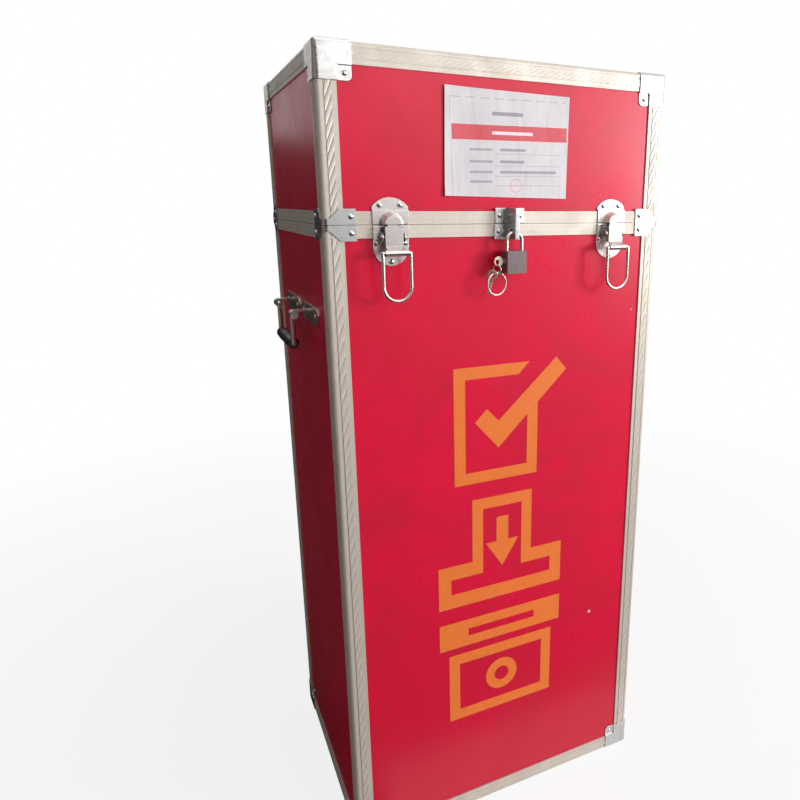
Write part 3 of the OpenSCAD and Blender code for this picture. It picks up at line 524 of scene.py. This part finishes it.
def level_ribs(name, z, body, pitch, half, rise, ends, sides):
    """Ribs of level profiles at height z, on the upright faces that sides names."""
    runs = []
    for sx, sy in sides:
        if sy:
            y = FRONT if sy < 0 else BACK
            along = (1, 0, 0) if sy < 0 else (-1, 0, 0)
            x = LEFT + ends if sy < 0 else RIGHT - ends
            start, length = (x, y - sy * SINK, z), RIGHT - LEFT - 2 * ends
        else:
            x = LEFT if sx < 0 else RIGHT
            along = (0, -1, 0) if sx < 0 else (0, 1, 0)
            y = BACK - ends if sx < 0 else FRONT + ends
            start, length = (x - sx * SINK, y, z), BACK - FRONT - 2 * ends
        runs.append(rib_band(start, along, (sx, sy, 0), length, pitch, half, rise, LEVEL_LEAN))
    dress(join(runs, name), SILVER, body, "frame_aluminium")


def top_ribs(name):
    """Ribs of the top edges on their upper faces."""
    z = TOP - SINK
    runs = []
    for s in (-1, 1):
        y = (FRONT if s < 0 else BACK) - s * BAND_MID
        x = (LEFT if s < 0 else RIGHT) - s * BAND_MID
        crosswise = ((LEFT + CAP_REACH, y, z), (1, 0, 0), RIGHT - LEFT - 2 * CAP_REACH)
        endwise = ((x, FRONT + CAP_REACH, z), (0, 1, 0), BACK - FRONT - 2 * CAP_REACH)
        for start, along, length in (crosswise, endwise):
            runs.append(rib_band(start, along, (0, 0, 1), length, EDGE_PITCH,
                                 BAND_HALF, RIB_RISE, LEVEL_LEAN))
    dress(join(runs, name), SILVER, LID, "frame_aluminium")


for label, corner in CORNERS.items():
    upright_ribs("ribs_upright_" + label, [corner], BASE + CAP_REACH, SPLIT - RIM_HEIGHT,
                 BODY_PITCH, BODY)
upright_ribs("ribs_lid_uprights", CORNERS.values(), SPLIT + RIM_HEIGHT, TOP - CAP_REACH,
             LID_PITCH, LID)
for label, z, body in (("top", TOP - BAND_MID, LID), ("base", BASE + BAND_MID, BODY)):
    level_ribs("ribs_" + label + "_edges", z, body, EDGE_PITCH, BAND_HALF, RIB_RISE / 2,
               CAP_REACH, FACES + FLANKS)
top_ribs("ribs_top_face")
for label, z, body in (("lid", LID_RIM_BAND, LID), ("body", BODY_RIM_BAND, BODY)):
    level_ribs("ribs_rim_ends_" + label, z, body, RIM_PITCH, RIM_HALF, RIB_RISE / 2,
               RIM_REACH, FLANKS)
    level_ribs("ribs_rim_faces_" + label, z, body, RIM_PITCH, RIM_HALF, RIB_RISE / 5,
               RIM_REACH, FACES)


# Softened edges of the stamped and cast pieces

MERGE = 0.002 * MM
FLAT_ANGLE = 0.5
SHARP_ANGLE = 35
BODY_OF = {member: body for body, members in frame["record"]["behaviour"]["bodies"].items()
           for member in members}

# Each slot's pieces, with the width in millimetres that the bevel takes beside an edge
HARDWARE = {
    "plated_steel": {"top_caps": 0.35, "base_caps": 0.35, "hasp_lid": 0.35, "hasp_body": 0.35,
                     "strike_left": 0.2, "strike_right": 0.2,
                     "latch_base_left": 0.3, "latch_base_right": 0.3,
                     "latch_lever_left": 0.12, "latch_lever_right": 0.12},
    "lock_paint": {"lock_body": 0.12},
    "key_metal": {"lock_key": 0.2, "spare_key": 0.2},
}


def soften(node, width, slot):
    """A copy of a CAD piece, merged, with its sharp edges rounded, in the piece's own place."""
    cad = nodes[node]
    made = bpy.data.objects.new(node + "_soft", cad.data.copy())
    bpy.context.scene.collection.objects.link(made)
    pick(made)
    bpy.ops.object.mode_set(mode="EDIT")
    bpy.ops.mesh.select_all(action="SELECT")
    bpy.ops.mesh.remove_doubles(threshold=MERGE)
    bpy.ops.mesh.dissolve_limited(angle_limit=math.radians(FLAT_ANGLE))
    bpy.ops.object.mode_set(mode="OBJECT")
    apply_modifier(made, "BEVEL", width=width, segments=2, limit_method="ANGLE",
                   angle_limit=math.radians(SHARP_ANGLE), use_clamp_overlap=False,
                   loop_slide=False)
    apply_modifier(made, "TRIANGULATE")
    smooth(made, SHARP_ANGLE)
    apply_modifier(made, "WEIGHTED_NORMAL", keep_sharp=True)
    dress(made, cad.data.materials[0], BODY_OF[node], slot, node)


for slot, widths in HARDWARE.items():
    for member, width in widths.items():
        soften(member, width * MM, slot)


# Certificate sheet

SHEET_LOW, SHEET_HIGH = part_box("certificate")
SHEET_MID = (SHEET_LOW + SHEET_HIGH) / 2
SHEET_TILT = math.radians(-0.8)
SHEET_W, SHEET_H = 146 * MM, 106 * MM
SHEET_THICK = 0.14 * MM
SHEET_GAP = 0.16 * MM
LEFT_LIFT, FOOT_LIFT, CORNER_LIFT, RIPPLE = 1.7, 0.9, 0.5, 0.25

GREY_INK = (0.16, 0.15, 0.18, 1)
BAND_INK = (0.62, 0.065, 0.085, 1)
PALE_INK = (0.85, 0.80, 0.84, 1)
RING_INK = (0.75, 0.14, 0.16, 1)
DASHED_RULE = (-0.455, 0.475, 0.421, 0.427)
DASHES, DASH_SHARE = 9.0, 0.68
RING_U, RING_W = 0.06, -0.387
RING_IN, RING_OUT = 6.3 * MM, 6.9 * MM
RING_BAR = 0.35 * MM

# Left, right, bottom and top in shares of the sheet from its middle, then ink and cover
BARS = [
    ((-0.458, -0.454, 0.20, 0.43), GREY_INK, 0.45),
    ((-0.452, -0.448, -0.47, 0.04), GREY_INK, 0.45),
    ((-0.445, 0.49, 0.042, 0.182), BAND_INK, 1.0),
    ((-0.13, 0.20, 0.095, 0.125), PALE_INK, 0.85),
    ((-0.13, 0.12, 0.27, 0.305), GREY_INK, 0.7),
]
# Height of each row's rule, and how far right the bar on it runs; the last has no bar
ROWS = ((-0.085, 0.14), (-0.197, 0.13), (-0.296, 0.40), (-0.387, None))
for row, bar_end in ROWS:
    BARS.append(((-0.11, 0.435, row - 0.003, row + 0.003), GREY_INK, 0.4))
    BARS.append(((-0.31, -0.13, row + 0.028, row + 0.05), GREY_INK, 0.55))
    if bar_end:
        BARS.append(((-0.07, bar_end, row + 0.026, row + 0.052), GREY_INK, 0.65))


def printed_paper():
    """Pale sheet with plain rules, bars, a colour band and a plain ring; no writing."""
    material, tree, shader, place = start_material("printed_sheet", rough=0.5)
    centred = add_node(tree, "ShaderNodeVectorMath",
                       {0: place, 1: tuple(-v for v in SHEET_MID)}, operation="ADD").outputs[0]
    level = add_node(tree, "ShaderNodeVectorRotate",
                     {"Vector": centred, "Axis": (0, 1, 0), "Angle": -SHEET_TILT}).outputs[0]
    axes = axes_of(tree, level)
    u = math_node(tree, "DIVIDE", axes["X"], SHEET_W)
    w = math_node(tree, "DIVIDE", axes["Z"], SHEET_H)
    creases = noise(tree, stretched(tree, place, (60.0, 20.0, 14.0)), scale=1.0, distortion=0.6)
    blotch = noise(tree, place, scale=30.0, detail=4.0, rough=0.6)
    tone = mix_colour(tree, remap(tree, blotch, 0.35, 0.65), (0.60, 0.56, 0.59, 1),
                      (0.67, 0.63, 0.66, 1))

    def ink(area, colour, cover):
        nonlocal tone
        tone = mix_colour(tree, math_node(tree, "MULTIPLY", area, cover), tone, colour)

    def rectangle(left, right, bottom, top):
        return math_node(tree, "MULTIPLY", between(tree, u, left, right),
                         between(tree, w, bottom, top))

    along_dash = math_node(tree, "FRACT", math_node(tree, "MULTIPLY", u, DASHES))
    on_dash = math_node(tree, "LESS_THAN", along_dash, DASH_SHARE)
    ink(math_node(tree, "MULTIPLY", rectangle(*DASHED_RULE), on_dash), GREY_INK, 0.6)
    for borders, colour, cover in BARS:
        ink(rectangle(*borders), colour, cover)
    ring_x = math_node(tree, "MULTIPLY", math_node(tree, "SUBTRACT", u, RING_U), SHEET_W)
    ring_z = math_node(tree, "MULTIPLY", math_node(tree, "SUBTRACT", w, RING_W), SHEET_H)
    away = math_node(tree, "SQRT", math_node(
        tree, "ADD", math_node(tree, "MULTIPLY", ring_x, ring_x),
        math_node(tree, "MULTIPLY", ring_z, ring_z)))
    inside = math_node(tree, "LESS_THAN", away, RING_IN)
    bar = math_node(tree, "MULTIPLY", inside, between(tree, ring_z, -RING_BAR, RING_BAR))
    ink(between(tree, away, RING_IN, RING_OUT), RING_INK, 0.8)
    ink(bar, RING_INK, 0.8)
    tree.links.new(tone, shader.inputs["Base Color"])
    bump(tree, shader, creases, distance=2.2 * MM, strength=0.35)
    return material


def build_sheet():
    """The sheet bows off the board at its left, its foot and its upper right, and ripples."""
    deselect()
    bpy.ops.mesh.primitive_grid_add(x_subdivisions=44, y_subdivisions=32, size=1.0)
    sheet = bpy.context.active_object
    sheet.data.transform(Matrix.Diagonal((SHEET_W, SHEET_H, 1, 1)))
    sheet.data.transform(Matrix.Rotation(math.pi / 2, 4, "X"))
    for vertex in sheet.data.vertices:
        x, z = vertex.co.x / SHEET_W, vertex.co.z / SHEET_H
        left = max(0.0, -x - 0.28) / 0.22
        foot = max(0.0, -z - 0.3) / 0.2
        lift = LEFT_LIFT * left ** 2 + FOOT_LIFT * foot ** 2 * (0.4 + left)
        lift += RIPPLE * (1 + math.sin(9 * x + 2.0) * math.cos(5 * z))
        lift += CORNER_LIFT * max(0.0, x - 0.4) / 0.1 * max(0.0, z - 0.25) / 0.25
        vertex.co.y = -lift * MM
    sheet.data.transform(Matrix.Rotation(-SHEET_TILT, 4, "Y"))
    sheet.data.transform(Matrix.Translation((SHEET_MID.x, SHEET_HIGH.y - SHEET_GAP, SHEET_MID.z)))
    apply_modifier(sheet, "SOLIDIFY", thickness=SHEET_THICK, offset=0.0)
    smooth(sheet, SMOOTH_ANGLE)
    sheet.name = "certificate_sheet"
    dress(sheet, printed_paper(), LID, "paper", "certificate")


build_sheet()


# Latch springs

# Each leg's place across the latch, its lower end and its upper end, in millimetres
LEGS = ((2.2, 0.0, 9.0), (-2.2, -6.0, 0.0))
LEG_BACK = 2.4 * MM


def build_spring(side):
    """A close-wound coil on the latch pin with one leg up and one leg down."""
    wire, radius, turns, pitch = 0.42 * MM, 2.55 * MM, 7, 0.9 * MM
    steps = 28 * turns
    deselect()
    bpy.ops.mesh.primitive_circle_add(vertices=10, radius=wire, fill_type="NOTHING")
    coil = bpy.context.active_object
    coil.data.transform(Matrix.Translation((radius, 0, -turns * pitch / 2))
                        @ Matrix.Rotation(math.pi / 2, 4, "X"))
    apply_modifier(coil, "SCREW", axis="Z", angle=math.tau * turns, steps=steps,
                   render_steps=steps, screw_offset=pitch * turns,
                   use_normal_calculate=True, use_merge_vertices=True)
    bpy.ops.object.mode_set(mode="EDIT")
    bpy.ops.mesh.select_all(action="SELECT")
    bpy.ops.mesh.fill_holes(sides=0)
    bpy.ops.mesh.select_all(action="SELECT")
    bpy.ops.mesh.normals_make_consistent(inside=False)
    bpy.ops.object.mode_set(mode="OBJECT")
    coil.data.transform(Matrix.Rotation(math.pi / 2, 4, "Y"))
    legs = []
    for x, low, high in LEGS:
        deselect()
        bpy.ops.mesh.primitive_cylinder_add(vertices=12, radius=wire, depth=(high - low) * MM)
        leg = bpy.context.active_object
        apply_modifier(leg, "BEVEL", width=0.12 * MM, segments=2)
        leg.data.transform(Matrix.Translation((x * MM, LEG_BACK, (low + high) / 2 * MM)))
        legs.append(leg)
    spring = join([coil] + legs, "spring_coil_" + side)
    pin_low, pin_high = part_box("latch_pin_" + side)
    spring.data.transform(Matrix.Translation((pin_low + pin_high) / 2))
    smooth(spring, SMOOTH_ANGLE)
    dress(spring, SPRING, BODY, "spring_steel", "latch_spring_" + side)


for side in ("left", "right"):
    build_spring(side)


# Light, floor and camera

WORLD_LIGHT = 0.17
GLOSS_LOW, GLOSS_HIGH = 0.45, 1.0
GLOSS_FROM, GLOSS_TO = -0.2, 0.7
FLOOR_RADIUS = 6.0
FLOOR_DROP = 0.2 * MM
NEAR_WHITE = 0.84
FADE_FROM, FADE_TO = 0.4, 1.8
EYE = (-0.3432, MID_Y - 0.8166, 0.7758)
YAW, TILT, ROLL = math.radians(26.68), math.radians(14.62), math.radians(-0.35)


def lamp(name, place, aim, size, watts):
    data = bpy.data.lights.new(name, "AREA")
    data.shape = "RECTANGLE"
    data.size, data.size_y = size
    data.energy = watts
    obj = bpy.data.objects.new(name, data)
    bpy.context.scene.collection.objects.link(obj)
    obj.location = place
    obj.rotation_euler = (Vector(aim) - Vector(place)).to_track_quat("-Z", "Y").to_euler()


def card(name, place, aim, size, finish):
    """A card for reflections; the camera, diffuse light and shadows leave it out."""
    deselect()
    bpy.ops.mesh.primitive_plane_add(size=1.0)
    made = bpy.context.active_object
    made.name = name
    made.scale = (*size, 1.0)
    made.rotation_euler = (Vector(aim) - Vector(place)).to_track_quat("Z", "Y").to_euler()
    made.location = place
    made.data.materials.append(finish)
    made.visible_camera = False
    made.visible_diffuse = False
    made.visible_shadow = False


def build_world():
    """White to the camera, dim as a light, and in reflections darker towards the ground."""
    world = bpy.data.worlds.new("studio")
    bpy.context.scene.world = world
    world.use_nodes = True
    tree = world.node_tree
    tree.nodes.clear()
    rays = add_node(tree, "ShaderNodeLightPath").outputs
    height = axes_of(tree, add_node(tree, "ShaderNodeTexCoord").outputs["Generated"])["Z"]
    seen = math_node(tree, "MAXIMUM", rays["Is Camera Ray"], rays["Is Transmission Ray"])
    gloss = remap(tree, height, GLOSS_FROM, GLOSS_TO, out_low=GLOSS_LOW, out_high=GLOSS_HIGH)
    light = either(tree, rays["Is Glossy Ray"], gloss, WORLD_LIGHT)
    back = add_node(tree, "ShaderNodeBackground",
                    {"Color": (1.0, 1.0, 1.0, 1.0), "Strength": either(tree, seen, 1.0, light)})
    out = add_node(tree, "ShaderNodeOutputWorld")
    tree.links.new(back.outputs[0], out.inputs["Surface"])


def build_floor():
    """Pale floor that shows a light shadow near the box and turns plain white farther off."""
    deselect()
    bpy.ops.mesh.primitive_circle_add(vertices=96, radius=FLOOR_RADIUS, fill_type="NGON",
                                      location=(0, 0, -FLOOR_DROP))
    floor = bpy.context.active_object
    floor.name = "floor"
    material, tree, shader, place = start_material("pale_floor", rough=0.6)
    shade = noise(tree, place, scale=3.0)
    tree.links.new(mix_colour(tree, shade, (0.86, 0.86, 0.86, 1), (0.90, 0.90, 0.90, 1)),
                   shader.inputs["Base Color"])
    rays = add_node(tree, "ShaderNodeLightPath").outputs
    seen = math_node(tree, "MAXIMUM", rays["Is Camera Ray"],
                     math_node(tree, "MAXIMUM", rays["Is Glossy Ray"],
                               rays["Is Transmission Ray"]))
    white = add_node(tree, "ShaderNodeEmission", {"Color": (1.0, 1.0, 1.0, 1.0), "Strength": 1.0})
    away = add_node(tree, "ShaderNodeVectorMath", {0: place}, operation="LENGTH").outputs["Value"]
    fade = remap(tree, away, FADE_FROM, FADE_TO, out_low=NEAR_WHITE, out_high=1.0)
    both = add_node(tree, "ShaderNodeMixShader", {0: math_node(tree, "MULTIPLY", seen, fade)})
    tree.links.new(shader.outputs[0], both.inputs[1])
    tree.links.new(white.outputs[0], both.inputs[2])
    tree.links.new(both.outputs[0], tree.nodes["Material Output"].inputs["Surface"])
    floor.data.materials.append(material)


def build_camera():
    """The photograph's viewpoint: height, turn and tilt come from the box's own edges."""
    data = bpy.data.cameras.new("camera")
    data.lens = 30.375
    data.sensor_width = 36.0
    data.shift_x = -0.127
    data.shift_y = -0.0264
    camera = bpy.data.objects.new("camera", data)
    bpy.context.scene.collection.objects.link(camera)
    ahead = Vector((math.sin(YAW) * math.cos(TILT), math.cos(YAW) * math.cos(TILT),
                    -math.sin(TILT)))
    right = Vector((math.cos(YAW), -math.sin(YAW), 0.0))
    down = ahead.cross(right)
    side = right * math.cos(ROLL) + down * math.sin(ROLL)
    below = down * math.cos(ROLL) - right * math.sin(ROLL)
    turn = Matrix((side, -below, -ahead)).transposed()
    camera.matrix_world = Matrix.Translation(EYE) @ turn.to_4x4()
    bpy.context.scene.camera = camera


build_world()
build_floor()
build_camera()
lamp("key_lamp", (2.3, -1.9, 1.0), aim=(0.0, -0.15, 0.6), size=(0.7, 0.7), watts=56.0)
lamp("fill_lamp", (1.15, -2.0, 1.7), aim=(0.0, -0.1, 0.55), size=(2.0, 1.6), watts=24.0)
lamp("top_lamp", (0.2, -0.3, 2.6), aim=(0.1, 0.0, 0.9), size=(1.4, 1.4), watts=8.0)
card("left_card", (-1.3, 0.2, 0.6), (0.0, 0.2, 0.6), (3.2, 1.5), GREY_CARD)
card("back_card", (-1.05, 1.2, 0.47), (-1.05, 0.0, 0.47), (1.9, 0.94), DARK_CARD)
card("rear_card", (-0.9, -2.6, 0.9), (0.0, 0.0, 0.9), (2.2, 1.8), DARK_CARD)
card("left_floor_card", (-1.0, 0.45, 0.001), (-1.0, 0.45, 1.0), (1.7, 1.9), DARK_CARD)
card("front_floor_card", (0.3, -1.35, 0.001), (0.3, -1.35, 1.0), (3.2, 2.2), DARK_CARD)
bpy.context.scene.view_settings.view_transform = "Standard"
